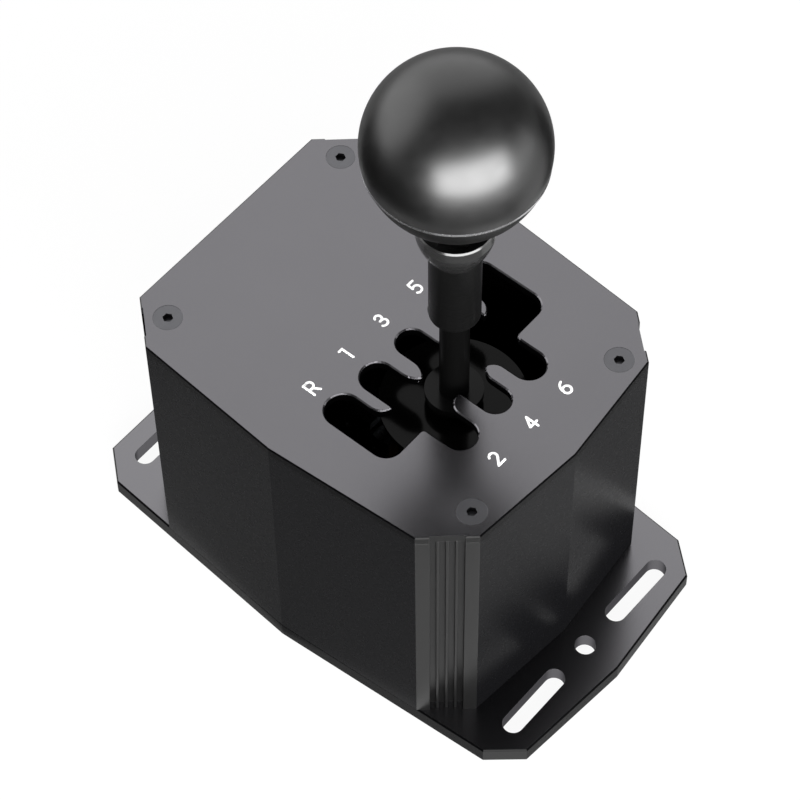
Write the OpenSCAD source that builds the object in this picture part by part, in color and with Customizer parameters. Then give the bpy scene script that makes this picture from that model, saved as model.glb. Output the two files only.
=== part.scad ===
// Sim racing gear shifter: an H-pattern lever on a two-axis pivot, in a housing on a bolt-down
// base plate. Millimetres, +Z up. The driver sits on the -Y side, gears 1, 3 and 5 lie towards
// +Y, and gears 5 and 6 towards +X. The origin is on the desk under the base plate's middle.

/* [Housing] */
// Widest width of the housing, across its waist
body_w = 108; // [104:1:116]
// Length of the housing, from the rear wall to the nose of the driver's wall
body_l = 131.6; // [130:0.2:138]
// Height of the gate plate's upper face above the desk
body_top = 104.5; // [102:0.5:112]
// How far each end of the side wall lies inside the waist
waist_in = 3.7; // [2.5:0.1:4.5]
// How far the nose of the driver's wall stands out beyond its ends
nose_out = 3.5; // [1:0.1:4.5]
// Distance of the waist from the middle of the housing, towards the rear
waist_y = 2; // [-3:0.5:5]
// Width of a cut corner, along X
corner_x = 12.1; // [11:0.1:14]
// Length of a cut corner, along Y
corner_y = 13.5; // [12:0.1:15]
// Thickness of the flat walls
wall = 2.5; // [2:0.1:3]
// Metal left behind the corner grooves
corner_wall = 2.2; // [1.5:0.1:3]

/* [Corner ribs] */
// Ribs in each corner recess
rib_count = 3; // [1:1:3]
// Width of a rib's outer face
rib_w = 0.75; // [0.5:0.05:1.2]
// Width of the groove beside a rib
groove_w = 1.95; // [1:0.05:2.2]
// Depth of the grooves below the corner's flats
groove_depth = 2.6; // [1:0.1:3]
// How far the ribs and the gate plate's edge are set back from the flats
rib_setback = 0.65; // [0.2:0.05:0.9]

/* [Base plate] */
// Length of the base plate
base_l = 173.2; // [170:0.2:184]
// Thickness of the base plate
base_t = 5.6; // [5:0.1:8]
// How far each end of the base plate's side lies inside the waist
base_waist_in = 5.7; // [4:0.1:7]
// Width of a cut corner of the base plate, along X
base_corner_x = 8.6; // [5:0.1:12]
// Length of a cut corner of the base plate, along Y
base_corner_y = 10; // [6:0.1:13]
// Distance between the two slots of an end, along X
slot_pitch_x = 50.3; // [48:0.1:54]
// Distance of the slots from the ends of the base plate
slot_in = 11.3; // [10.5:0.1:12]
// Place of the slot pattern's middle, along Y
slot_mid_y = 1.2; // [0:0.1:2]
// Length of a slot from end to end
slot_l = 26.6; // [20:0.2:30]
// Width of a slot, and of the round hole between two slots
slot_w = 6.6; // [5:0.1:7]
// Chamfer along the upper edge
base_edge = 0.5; // [0.2:0.1:1]

/* [Gate] */
// Thickness of the gate plate
plate_t = 3; // [2.5:0.1:4]
// Chamfer along the gate's upper edge
gate_edge = 0.4; // [0.2:0.05:0.45]
// Place of the lever in neutral, along Y
lever_y = -21.5; // [-22.5:0.5:-20]
// Half the width of the neutral channel
channel_half = 5.7; // [5.4:0.1:6]
// Distance from the middle column to the columns of 1-2 and 5-6
column_1 = 15.5; // [15:0.1:15.8]
// Distance from the middle column to the reverse column and its twin
column_2 = 30.4; // [30:0.1:31]
// Width of the middle column's fingers
finger_w0 = 9.5; // [9.3:0.1:10]
// Width of the fingers of 1-2 and 5-6
finger_w1 = 10.5; // [10.4:0.1:11]
// Width of the reverse column and its twin
finger_w2 = 11.2; // [11:0.1:11.6]
// Reach of finger 3, forward from neutral
reach_3 = 20.6; // [20.2:0.1:23]
// Reach of fingers 1 and 5, forward from neutral
reach_1 = 20.8; // [20.4:0.1:23]
// Reach of the reverse finger and its twin, forward from neutral
reach_r = 21.3; // [20:0.1:23]
// Reach of fingers 2, 4 and 6, back from neutral
reach_2 = 20.1; // [19.9:0.1:22]
// Length of the pointed ends of the forward tines
tine_tip_front = 6.4; // [5:0.1:7]
// Length of the pointed ends of the rear tines
tine_tip_back = 4.7; // [4:0.1:6]
// Rounding of the tines' points
tip_r = 0.9; // [0.8:0.05:1.1]
// Rounding of the two corners beside fingers 2 and 6
inner_r = 1.4; // [1:0.1:2]
// Chamfer along the plate's outer edge
plate_edge = 0.4; // [0.2:0.1:0.6]
// Radius of the channel's two outer corners
channel_corner_r = 5; // [3:0.1:5.4]

/* [Screws] */
// Diameter of the countersunk housing screws
screw_d = 5; // [4:0.5:5]
// Diameter of their heads
screw_head_d = 8.8; // [8:0.1:9.4]
// Width across the flats of their sockets
screw_socket = 2.8; // [2:0.1:3]
// Length of these screws
screw_l = 14; // [12:1:18]
// Distance of the rear screws from the rear wall
rear_screw_in = 11.4; // [10.5:0.1:13]
// Distance of the front screws from the ends of the driver's wall
front_screw_in = 7; // [6.6:0.1:9]
// How far the front screws lie inside the ends of the driver's wall
front_screw_side = 4.9; // [4:0.1:6]
// Diameter of the corner posts that hold the screws
post_d = 10; // [9:0.5:11]

/* [Lever] */
// Diameter of the lever rod
rod_d = 8.7; // [8.3:0.1:8.9]
// Height of the pivot above the desk
pivot_z = 38; // [38:0.5:40]
// Side step of the lever to a neighbouring column, in degrees
select_angle = 13.4; // [13:0.1:13.6]
// Throw of the lever into a finger, in degrees
shift_angle = 12.5; // [12:0.1:12.7]
// Height of the sleeve's lower end above the gate plate
sleeve_lift = 29.9; // [25:0.1:40]
// Length of the sleeve
sleeve_l = 27.4; // [20:0.2:40]
// Diameter of the sleeve
sleeve_d = 14.9; // [12:0.1:16]
// Diameter of the cup-shaped collar
collar_d = 22.1; // [20:0.1:26]
// Height of the collar
collar_h = 13; // [11:0.1:16]
// Diameter of the round guide flange under the gate
flange_d = 17.3; // [14:0.1:18]
// Thickness of the guide flange
flange_t = 3; // [2:0.1:4]
// Depth of the flange's upper face below the gate plate's upper face
flange_drop = 8.2; // [7:0.1:9]
// Diameter of the dust disc under the flange
disc_d = 44; // [36:1:46]

/* [Knob] */
// Diameter of the ball
knob_d = 51.1; // [46:0.1:54]
// Angle of the trim ring below the ball's equator, in degrees
ring_angle = 12; // [6:1:20]
// Height of the trim ring
ring_h = 0.8; // [0.5:0.1:1.5]
// How far the trim ring stands out of the ball
ring_out = 0.15; // [0.05:0.05:0.3]
// Distance from the ball's centre to its lower flat
knob_flat = 24.4; // [22.6:0.1:24.4]
// Length of the neck under the ball
neck_h = 2.6; // [1:0.1:4]
// Height of the lock nut under the neck
nut_h = 8; // [6:0.5:9]

/* [Pivot] */
// Length of the select frame's opening, along Y
frame_in_l = 28; // [27:0.5:29]
// Width of the select frame's opening, along X
frame_in_w = 20; // [19:0.5:22]
// Height of the select frame
frame_h = 16; // [15:0.5:17]
// Thickness of the frame's side walls
frame_side = 6; // [5.5:0.5:7]
// Thickness of the frame's end walls
frame_end = 5; // [4.5:0.5:6]
// Diameter of the shift pin
pin_d = 8; // [7:0.5:8]
// Diameter of the select shafts
shaft_d = 10; // [9:0.5:10]
// Thickness of the two pivot stands
stand_t = 6; // [5:0.5:7]
// Width of a stand at its foot
stand_w = 36; // [32:1:40]
// Width of the lever hub
hub_w = 16; // [15:0.5:16]
// Height of the hub above the pivot
hub_up = 16; // [14:0.5:18]

/* [Detent] */
// Radius of the detent sector's rim about the shift pin
sector_r = 17; // [16.6:0.1:17.4]
// Radius of the detent plunger
plunger_r = 2; // [1.9:0.05:2]
// Travel of the plunger into a notch
plunger_travel = 0.8; // [0.6:0.05:0.85]
// Length of the plunger below its round nose
plunger_l = 5; // [4:0.1:5.5]

/* [Springs] */
// Wire of the centring spring
centring_wire = 1.6; // [1.2:0.1:1.8]
// Turns of the centring spring, which ends half a turn on from where it starts
centring_turns = 4.5; // [2.5:1:4.5]
// Wire of the detent spring
detent_wire = 0.5; // [0.4:0.05:0.55]
// Turns of the detent spring
detent_turns = 4; // [3:1:5]

/* [Electronics] */
// Width of the controller board
board_w = 60; // [50:1:62]
// Distance of the controller board from the bracket in front of it
board_front_gap = 3; // [1:0.1:5]
// Thickness of the boards
board_t = 1.6; // [1:0.1:2]
// Height of the controller board's standoffs
standoff_h = 5; // [4:0.5:8]
// Width of the USB inlet
usb_w = 9; // [8.5:0.1:9.5]
// Height of the USB inlet
usb_h = 3.3; // [3:0.1:3.6]

/* [Clearances] */
// Radial gap of a running fit
run_gap = 0.05; // [0.02:0.01:0.08]
// Radial gap of a fixed fit, such as a screw in its thread or a pressed pin
fix_gap = 0.03; // [0.02:0.01:0.05]
// Gap left between faces that move past each other
face_gap = 0.5; // [0.3:0.05:0.6]

/* [Hidden] */
$fn = 64;
pivot = [0, lever_y, pivot_z];
end_x = body_w / 2 - waist_in;
slot_pitch_y = base_l - 2 * slot_in;
half_l = body_l / 2;
corner_run = norm([corner_x, corner_y]);
corner_turn = atan2(corner_x, corner_y);
plate_z = body_top - plate_t;
recess_w = rib_count * rib_w + (rib_count + 1) * groove_w;
rear_screw_x = end_x - corner_x + 0.2;
front_screw_x = end_x - corner_x - front_screw_side;
screw_spots = [
    [-rear_screw_x, half_l - rear_screw_in], [rear_screw_x, half_l - rear_screw_in],
    [-front_screw_x, -half_l + nose_out + front_screw_in],
    [front_screw_x, -half_l + nose_out + front_screw_in]];

// Heights along the lever
flange_z = body_top - flange_drop - flange_t;
disc_t = 1.5;
disc_boss_d = 13;
disc_boss_h = 3.3;
disc_z = flange_z - disc_boss_h - disc_t;
sleeve_z = body_top + sleeve_lift;
collar_z = sleeve_z + sleeve_l;
collar_rim_z = collar_z + collar_h;
collar_recess = 2.2;
collar_bevel = 1.2;
nut_z = collar_rim_z - collar_recess;
nut_flats = 13;
neck_d = 15;
knob_z = nut_z + nut_h + neck_h + knob_flat;
ball_r = knob_d / 2;
ring_z = -ball_r * sin(ring_angle);
insert_d = 14;
insert_up = 6;
insert_down = 18;
rod_top = knob_z + insert_up - 2;
rod_foot = 5;

// The pivot, measured from the point where its two axes cross
frame_out_w = frame_in_w + 2 * frame_side;
frame_out_l = frame_in_l + 2 * frame_end;
pin_l = frame_out_w + 8;
clip_t = 1;
clip_groove = 0.4;
clip_d = pin_d + 5;
clip_x = frame_out_w / 2 + 0.2;
bush_wall = 2;
flange_lip = 2;
bush_lip_t = 1.5;
stand_y = frame_out_l / 2 + bush_lip_t + face_gap;
stand_head_r = 10;
foot_l = 8;
foot_t = 5;
foot_screw_x = 13;
foot_screw_d = 4;
foot_head_d = 7;
foot_head_h = 4;
hub_down = 8;
saddle_t = 2.5;
web_t = 5;
sector_half = 24;
sector_x = 1.3 * sector_r * sin(sector_half);
sector_z = 1.3 * sector_r * cos(sector_half);
saddle_screw_d = 2.5;
saddle_screw_at = 5.7;
saddle_head_d = 4;
saddle_head_h = 1.2;
saddle_screw_l = 6;

// The detent under the sector
nose_gap = 0.15;
nose_z = -(sector_r + nose_gap + plunger_r);
plunger_foot = nose_z - plunger_l;
bridge_top = -(sector_r + 2.2);
bridge_z = -27;
bridge_boss_z = -30.5;
bridge_w = 12;
leg_t = 4;
leg_x = frame_in_w / 2 + 1;
grub_l = 2;

// The centring spring on the rear select shaft
coil_y = stand_y + stand_t + 2;
coil_r = shaft_d / 2 + 0.5 + centring_wire / 2;
coil_gap = 0.45;
coil_pitch = centring_wire + coil_gap;
coil_l = centring_turns * coil_pitch;
leg_top = 20;
tab_half = coil_r - centring_wire / 2 - 0.2;
tab_z = [10, 13];
finger_z = [15, 18];
crank_y = coil_y + coil_l + centring_wire / 2 + 0.6;
crank_t = 3.5;
crank_hub_r = 9;
shaft_rear = crank_y + crank_t + 1.5;
shaft_front = stand_y + stand_t + 1;
magnet_d = 5;
magnet_t = 2;
chip_t = 0.8;
sensor_gap = 0.8;
sensor_y = shaft_rear + sensor_gap + chip_t;
sensor_w = 22;
sensor_h = 22;
bracket_t = 2.5;
bracket_w = 24;
bracket_foot_l = 10;
bracket_rear = lever_y + sensor_y + board_t + bracket_t;
shift_board_x = pin_l / 2 + sensor_gap + chip_t;
shift_board_w = 26;
shift_board_h = 16;
shift_post_y = 10;
shift_post_d = 4;
shift_stud_d = 3;
shift_stud_l = 3;

// The controller board and its inlet
usb_l = 8;
usb_wall = 0.3;
board_gap = 1.5;
board_rear = half_l - wall - board_gap;
board_l = board_rear - bracket_rear - board_front_gap;
board_y = board_rear - board_l / 2;
board_z = base_t + standoff_h;
board_hole_x = board_w / 2 - 4;
board_hole_y = board_l / 2 - 4;
standoff_d = 6;
board_screw_d = 3;
board_head_d = 5.5;
board_head_h = 2;
chip_w = 10;
chip_x = 8;
header_w = 7;
header_l = 5;
header_h = 6;
header_wall = 1;
header_pitch = 10;

// Sizes of the foot screws, and their places on the base plate
foot_screw_l = 4.5;
rear_foot_y = lever_y + stand_y + stand_t;
foot_screw_spots = [
    for (x = [-foot_screw_x, foot_screw_x]) each [
        [x, lever_y - stand_y - stand_t - foot_l / 2], [x, rear_foot_y + foot_l / 2]],
    for (x = [-bracket_w / 3, bracket_w / 3])
        [x, lever_y + sensor_y + board_t - bracket_foot_l / 2]];

// Outline of a plate or wall seen from above, with cut corners, a waist and a nose
function plan(w, l, inset, cut_x, cut_y) = let (e = w / 2 - inset, f = l / 2) [
    [e - cut_x, f], [-e + cut_x, f], [-e, f - cut_y], [-w / 2, waist_y],
    [-e, -f + nose_out + cut_y], [-e + cut_x, -f + nose_out], [0, -f],
    [e - cut_x, -f + nose_out], [e, -f + nose_out + cut_y], [w / 2, waist_y], [e, f - cut_y]];

// Growth of the corner cuts that leaves corner_wall behind the grooves
function corner_growth() = let (depth = corner_x * corner_y / corner_run)
    (depth - wall * (corner_x + corner_y) / corner_run + groove_depth + corner_wall) / depth;

function unit(v) = v / norm(v);

// One ring of a tube's skin round point p, square to direction t
function ring(p, t, axis, r, sides) =
    let (a = unit(axis - (axis * t) * t), b = cross(t, a))
    [for (i = [0 : sides - 1]) p + r * (cos(360 * i / sides) * a + sin(360 * i / sides) * b)];

// Direction of a path at its point i
function heading(path, i) = let (n = len(path) - 1)
    unit(path[min(i + 1, n)] - path[max(i - 1, 0)]);

module tube(path, axis, r, sides = 6) {
    points = [for (i = [0 : len(path) - 1]) each ring(path[i], heading(path, i), axis, r, sides)];
    last = (len(path) - 1) * sides;
    skin = [for (i = [0 : len(path) - 2], s = [0 : sides - 1])
        let (a = i * sides + s, b = i * sides + (s + 1) % sides)
        each [[a, b, b + sides], [a, b + sides, a + sides]]];
    caps = [for (s = [1 : sides - 2])
        each [[0, s + 1, s], [last, last + s, last + s + 1]]];
    polyhedron(points, concat(skin, caps));
}

// A stadium, such as a slot, of the given size from end to end, along X
module stadium(l, w) {
    square([l - w, w], center = true);
    for (s = [-1, 1])
        translate([s * (l - w) / 2, 0]) circle(d = w);
}

// Places its children at the middle of each cut corner, with +X pointing outwards
module at_corners() {
    for (side = [0, 1])
        mirror([side, 0, 0]) {
            translate([end_x - corner_x / 2, half_l - corner_y / 2, 0])
                rotate(corner_turn) children();
            translate([end_x - corner_x / 2, -half_l + nose_out + corner_y / 2, 0])
                rotate(-corner_turn) children();
        }
}

// The shallow recess across each cut corner
module corner_recess(z, h) {
    at_corners()
        translate([-rib_setback, -recess_w / 2, z]) cube([rib_setback + 2, recess_w, h]);
}

// The grooves that leave the ribs standing in each recess
module corner_grooves(z, h) {
    at_corners()
        for (i = [0 : rib_count])
            translate([-groove_depth, -recess_w / 2 + i * (groove_w + rib_w), z])
                cube([groove_depth + 2, groove_w, h]);
}

// Countersunk screw with its head's face at z = 0, pointing down
module countersunk_screw() {
    head_h = (screw_head_d - screw_d) / 2;
    difference() {
        union() {
            translate([0, 0, -head_h]) cylinder(d1 = screw_d, d2 = screw_head_d, h = head_h);
            translate([0, 0, -screw_l]) cylinder(d = screw_d, h = screw_l);
        }
        translate([0, 0, -head_h]) cylinder(d = screw_socket / cos(30), h = head_h + 1, $fn = 6);
    }
}

// Hole for that screw, with the plate's face at z = 0
module countersunk_hole(depth) {
    head_h = (screw_head_d - screw_d) / 2;
    d = screw_d + 2 * fix_gap;
    translate([0, 0, -head_h]) cylinder(d1 = d, d2 = screw_head_d + 2 * fix_gap, h = head_h);
    translate([0, 0, -depth]) cylinder(d = d, h = depth - head_h + 0.01);
    cylinder(d = screw_head_d + 2 * fix_gap, h = 1);
}

// Cap screw with its head's underside at z = 0, pointing down
module cap_screw(d, l, head_d, head_h, socket) {
    difference() {
        union() {
            translate([0, 0, -l]) cylinder(d = d, h = l);
            cylinder(d = head_d, h = head_h);
        }
        translate([0, 0, head_h / 2]) cylinder(d = socket / cos(30), h = head_h, $fn = 6);
    }
}

module base_plate() {
    color("dimgray")
    difference() {
        edged_plate(plan(body_w, base_l, base_waist_in, base_corner_x, base_corner_y),
            base_t, base_edge);
        for (end = [-1, 1])
            translate([0, slot_mid_y + end * slot_pitch_y / 2, -1])
                linear_extrude(base_t + 2) {
                    for (side = [-1, 1])
                        translate([side * slot_pitch_x / 2, 0]) stadium(slot_l, slot_w);
                    circle(d = slot_w);
                }
        for (spot = screw_spots)
            translate(spot) mirror([0, 0, 1]) countersunk_hole(base_t + 1);
        for (spot = foot_screw_spots)
            translate([spot[0], spot[1], base_t - foot_screw_l - 0.4])
                cylinder(d = foot_screw_d + 2 * fix_gap, h = foot_screw_l + 1);
    }
}

module housing() {
    grow = corner_growth();
    tall = plate_z - base_t;
    color("dimgray")
    difference() {
        union() {
            difference() {
                translate([0, 0, base_t]) linear_extrude(tall)
                    polygon(plan(body_w, body_l, waist_in, corner_x, corner_y));
                translate([0, 0, base_t - 1]) linear_extrude(tall + 2)
                    polygon(plan(body_w - 2 * wall, body_l - 2 * wall, waist_in,
                        corner_x * grow, corner_y * grow));
            }
            for (spot = screw_spots)
                translate([spot[0], spot[1], base_t]) cylinder(d = post_d, h = tall);
        }
        corner_recess(base_t - 1, tall + 2);
        corner_grooves(base_t - 1, tall + 2);
        for (spot = screw_spots)
            translate([spot[0], spot[1], 0]) {
                cylinder(d = screw_d + 2 * fix_gap, h = screw_l + 1);
                translate([0, 0, body_top - screw_l - 1])
                    cylinder(d = screw_d + 2 * fix_gap, h = screw_l + 1);
            }
        translate([0, half_l + 1, board_z + board_t + usb_h / 2])
            rotate([90, 0, 0]) linear_extrude(wall + 2)
                stadium(usb_w + 0.5, usb_h + 0.5);
    }
}

// Arc that rounds corner b of a path from a to c, moved out by grow
function corner_arc(a, b, c, r, grow) = let (
    u = unit(b - a), v = unit(c - b), left = [-u[1], u[0]],
    turn = atan2(u[0] * v[1] - u[1] * v[0], u * v), side = sign(turn),
    middle = b - r * tan(abs(turn) / 2) * u + side * r * left,
    steps = ceil(abs(turn) / (r > 2 ? 10 : 22)))
    [for (i = [0 : steps]) let (t = turn * i / steps)
        middle + (r + side * grow) * -side * (left * cos(t) - u * sin(t))];

// Closed path through corners [x, y, radius], counter-clockwise, moved out by grow
function rounded(corners, grow = 0) = let (n = len(corners), p = [for (c = corners) [c[0], c[1]]])
    [for (i = [0 : n - 1])
        each corner_arc(p[(i + n - 1) % n], p[i], p[(i + 1) % n], corners[i][2], grow)];

// How far from a tine's point the corner of its curved flank lies, for a flank of this width
// and length, and the radius of the curve beside a point that takes up tip
function flank_corner(run, h) = h - (run * run + h * h) / (2 * h);
function flank_r(run, h, tip) = ((run * run + h * h) / (2 * h) - tip) * h / run - 0.05;

// The two ends of a straight-sided finger, from corner x0 to corner x1
function finger_end(x0, x1, y) = let (r = abs(x1 - x0) / 2 - 0.02) [[x0, y, r], [x1, y, r]];

// A pointed tine between two fingers, from x0 to x1, with its point at y and its root at y + h
function tine(x0, x1, y, h) = let (
    run = abs(x1 - x0) / 2, turn = 2 * atan2(run, abs(h)),
    r = flank_r(run, abs(h), tip_r / tan(turn)), rise = tip_r * (1 / sin(turn) - 1),
    root = y + sign(h) * flank_corner(run, abs(h)))
    [[x0, root, r], [(x0 + x1) / 2, y - sign(h) * rise, tip_r], [x1, root, r]];

// The gate's opening about the lever in neutral: the reverse column and its twin at the sides,
// three forward and three rear fingers between them
function gate_path(grow = 0) = let (
    far = column_2 + finger_w2 / 2, near = column_2 - finger_w2 / 2,
    x0 = finger_w0 / 2, x1 = column_1 - finger_w1 / 2, x2 = column_1 + finger_w1 / 2,
    c = channel_half, side_h = 0.86 * tine_tip_front, side_tip = 0.6 * tip_r,
    front = concat(
        [[far, -c, channel_corner_r]], finger_end(far, near, reach_r),
        [[near, c + flank_corner(near - x2, side_h),
            flank_r(near - x2, side_h, side_tip * side_h / (near - x2))],
        [x2, c - 0.2, side_tip]],
        finger_end(x2, x1, reach_1), tine(x1, x0, c, tine_tip_front),
        [[x0, reach_3, x0 - 0.02]]),
    n = len(front) - 1,
    rear = concat(
        [[-x2, -c, inner_r]], finger_end(-x2, -x1, -reach_2),
        [[-x1, -c, tine_tip_back - 0.3], [-x0, -c, side_tip]],
        finger_end(-x0, x0, 0.3 - reach_2), tine(x0, x1, -c, -tine_tip_back),
        finger_end(x1, x2, -reach_2), [[x2, -c, inner_r + 0.4]]))
    rounded(concat(front, [for (i = [n : -1 : 0]) [-front[i][0], front[i][1], front[i][2]]],
        rear), grow);

// Loop of triangular section along the gate's wall, which cuts the chamfer of its upper edge
module gate_chamfer() {
    low = gate_path(-0.1);
    high = gate_path(gate_edge + 0.1);
    n = len(low);
    points = concat([for (p = low) [p[0], p[1], -gate_edge - 0.1]],
        [for (p = high) [p[0], p[1], 0.1]], [for (p = low) [p[0], p[1], 0.1]]);
    polyhedron(points, [for (i = [0 : n - 1], side = [0 : 2])
        let (a = side * n, b = (side + 1) % 3 * n, j = (i + 1) % n)
        [a + i, b + i, b + j, a + j]]);
}

// A plate of the given outline whose upper edge is chamfered
module edged_plate(outline, t, edge) {
    hull() {
        linear_extrude(t - edge) polygon(outline);
        linear_extrude(t) offset(delta = -edge) polygon(outline);
    }
}

module top_plate() {
    color("gray")
    difference() {
        translate([0, 0, plate_z])
            edged_plate(plan(body_w, body_l, waist_in, corner_x, corner_y), plate_t, plate_edge);
        corner_recess(plate_z - 1, plate_t + 2);
        for (spot = screw_spots)
            translate([spot[0], spot[1], body_top]) countersunk_hole(plate_t + 1);
        translate([0, lever_y, plate_z - 1]) linear_extrude(plate_t + 2) polygon(gate_path());
        translate([0, lever_y, body_top]) gate_chamfer();
    }
}

module top_screws() {
    color("darkgray")
        for (spot = screw_spots)
            translate([spot[0], spot[1], body_top - fix_gap]) countersunk_screw();
}

module base_screws() {
    color("darkgray")
        for (spot = screw_spots)
            translate([spot[0], spot[1], fix_gap]) mirror([0, 0, 1]) countersunk_screw();
}

// A stand's upright and foot, its inner face at y = 0 and the foot reaching to +Y
module stand_body() {
    half = stand_w / 2;
    rise = pivot_z - base_t;
    difference() {
        union() {
            rotate([90, 0, 0]) mirror([0, 0, 1]) linear_extrude(stand_t) {
                polygon([[-half, -rise], [half, -rise], [half, -rise + foot_t],
                    [stand_head_r * 0.9, 0], [-stand_head_r * 0.9, 0], [-half, -rise + foot_t]]);
                circle(stand_head_r);
            }
            translate([-half, 0, -rise]) cube([stand_w, stand_t + foot_l, foot_t]);
        }
        rotate([90, 0, 0]) translate([0, 0, -stand_t - 1])
            cylinder(r = shaft_d / 2 + bush_wall + fix_gap, h = stand_t + 2);
        for (x = [-foot_screw_x, foot_screw_x])
            translate([x, stand_t + foot_l / 2, -rise - 1])
                cylinder(d = foot_screw_d + 2 * fix_gap, h = foot_t + 2);
    }
}

module front_stand() {
    color("slategray")
        translate(pivot) mirror([0, 1, 0]) translate([0, stand_y, 0]) stand_body();
}

module rear_stand() {
    color("slategray")
    translate(pivot) {
        translate([0, stand_y, 0]) stand_body();
        // Tab that the centring spring's legs rest on
        translate([-tab_half, stand_y, 0.8 * stand_head_r])
            cube([2 * tab_half, stand_t, tab_z[1] - 0.8 * stand_head_r]);
        translate([-tab_half, stand_y, tab_z[0]])
            cube([2 * tab_half, crank_y - 0.7 - stand_y, tab_z[1] - tab_z[0]]);
    }
}

module stand_screws() {
    color("silver")
        for (i = [0 : len(foot_screw_spots) - 1]) {
            on_bracket = i >= 4;
            l = foot_screw_l + (on_bracket ? bracket_t : foot_t);
            translate([foot_screw_spots[i][0], foot_screw_spots[i][1], base_t
                + (on_bracket ? bracket_t : foot_t)])
                cap_screw(foot_screw_d, l, foot_head_d, foot_head_h, 3);
        }
}

module select_bushes() {
    r = shaft_d / 2;
    color("goldenrod")
        for (side = [0, 1])
            translate(pivot) mirror([0, side, 0]) translate([0, stand_y, 0])
                rotate([-90, 0, 0]) difference() {
                    union() {
                        cylinder(r = r + bush_wall, h = stand_t);
                        translate([0, 0, -bush_lip_t])
                            cylinder(r = r + bush_wall + flange_lip, h = bush_lip_t);
                    }
                    translate([0, 0, -bush_lip_t - 1])
                        cylinder(r = r + run_gap, h = stand_t + bush_lip_t + 2);
                }
}

module select_frame() {
    color("silver")
    translate(pivot) difference() {
        cube([frame_out_w, frame_out_l, frame_h], center = true);
        cube([frame_in_w, frame_in_l, frame_h + 2], center = true);
        rotate([0, 90, 0])
            cylinder(r = pin_d / 2 + bush_wall + fix_gap, h = frame_out_w + 2, center = true);
        rotate([90, 0, 0])
            cylinder(r = shaft_d / 2 + fix_gap, h = frame_out_l + 2, center = true);
        for (y = [-shift_post_y, shift_post_y])
            translate([frame_out_w / 2 - shift_stud_l, y, 0]) rotate([0, 90, 0])
                cylinder(d = shift_stud_d + 2 * fix_gap, h = shift_stud_l + 1);
    }
}

module select_shafts() {
    inner = frame_in_l / 2;
    color("lightsteelblue")
    translate(pivot) {
        rotate([-90, 0, 0]) difference() {
            translate([0, 0, inner]) cylinder(d = shaft_d, h = shaft_rear - inner);
            translate([0, 0, shaft_rear - magnet_t])
                cylinder(d = magnet_d + 2 * fix_gap, h = magnet_t + 1);
        }
        rotate([90, 0, 0]) translate([0, 0, inner])
            cylinder(d = shaft_d, h = shaft_front - inner);
    }
}

// Arm on the rear select shaft, whose finger lies between the spring's legs
module select_crank() {
    color("slategray")
    translate(pivot) {
        difference() {
            union() {
                translate([0, crank_y, 0]) rotate([-90, 0, 0])
                    cylinder(r = crank_hub_r, h = crank_t);
                translate([-tab_half, crank_y, 0]) cube([2 * tab_half, crank_t, finger_z[1]]);
            }
            translate([0, crank_y - 1, 0]) rotate([-90, 0, 0])
                cylinder(d = shaft_d + 2 * fix_gap, h = crank_t + 2);
        }
        translate([-tab_half, coil_y - 0.8, finger_z[0]])
            cube([2 * tab_half, crank_y - coil_y + 0.8, finger_z[1] - finger_z[0]]);
    }
}

// Torsion spring that brings the lever back to the middle column
module centring_spring() {
    rings = centring_turns * 8;
    coil = [for (i = [0 : rings]) let (a = -45 * i)
        [coil_r * cos(a), coil_l * i / rings, coil_r * sin(a)]];
    path = concat([[coil_r, 0, leg_top], [coil_r, 0, 2]], coil,
        [[-coil_r, coil_l, 2], [-coil_r, coil_l, leg_top]]);
    echo(least_gap_of_centring_spring = coil_l / centring_turns - centring_wire);
    color("gainsboro")
        translate(pivot + [0, coil_y, 0]) tube(path, [0, 1, 0], centring_wire / 2);
}

module select_magnet() {
    color("lightgray")
        translate(pivot + [0, shaft_rear - magnet_t, 0]) rotate([-90, 0, 0])
            cylinder(d = magnet_d, h = magnet_t);
}

// Bracket that holds the select sensor behind the rear shaft's magnet
module sensor_bracket() {
    y = lever_y + sensor_y + board_t;
    color("slategray")
    difference() {
        union() {
            translate([-bracket_w / 2, y, base_t])
                cube([bracket_w, bracket_t, pivot_z - base_t + sensor_h / 2]);
            translate([-bracket_w / 2, y - bracket_foot_l, base_t])
                cube([bracket_w, bracket_foot_l, bracket_t]);
        }
        for (x = [-bracket_w / 3, bracket_w / 3])
            translate([x, y - bracket_foot_l / 2, base_t - 1])
                cylinder(d = foot_screw_d + 2 * fix_gap, h = bracket_t + 2);
    }
}

// Sensor board with its chip at z = 0 and below, facing -Z
module sensor_board(w, h) {
    translate([-w / 2, -h / 2, 0]) cube([w, h, board_t]);
    translate([-2.5, -2.5, -chip_t]) cube([5, 5, chip_t]);
}

module select_sensor_board() {
    color("darkgreen")
        translate(pivot + [0, sensor_y, 0]) rotate([-90, 0, 0]) sensor_board(sensor_w, sensor_h);
}

module shift_sensor_board() {
    color("darkgreen")
        translate(pivot + [shift_board_x, 0, 0]) rotate([0, 90, 0])
            sensor_board(shift_board_h, shift_board_w);
}

module shift_board_posts() {
    color("gold")
        for (y = [-shift_post_y, shift_post_y])
            translate(pivot + [frame_out_w / 2, y, 0]) rotate([0, 90, 0]) {
                cylinder(d = shift_post_d, h = shift_board_x - frame_out_w / 2);
                translate([0, 0, -shift_stud_l]) cylinder(d = shift_stud_d, h = shift_stud_l);
            }
}

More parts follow.
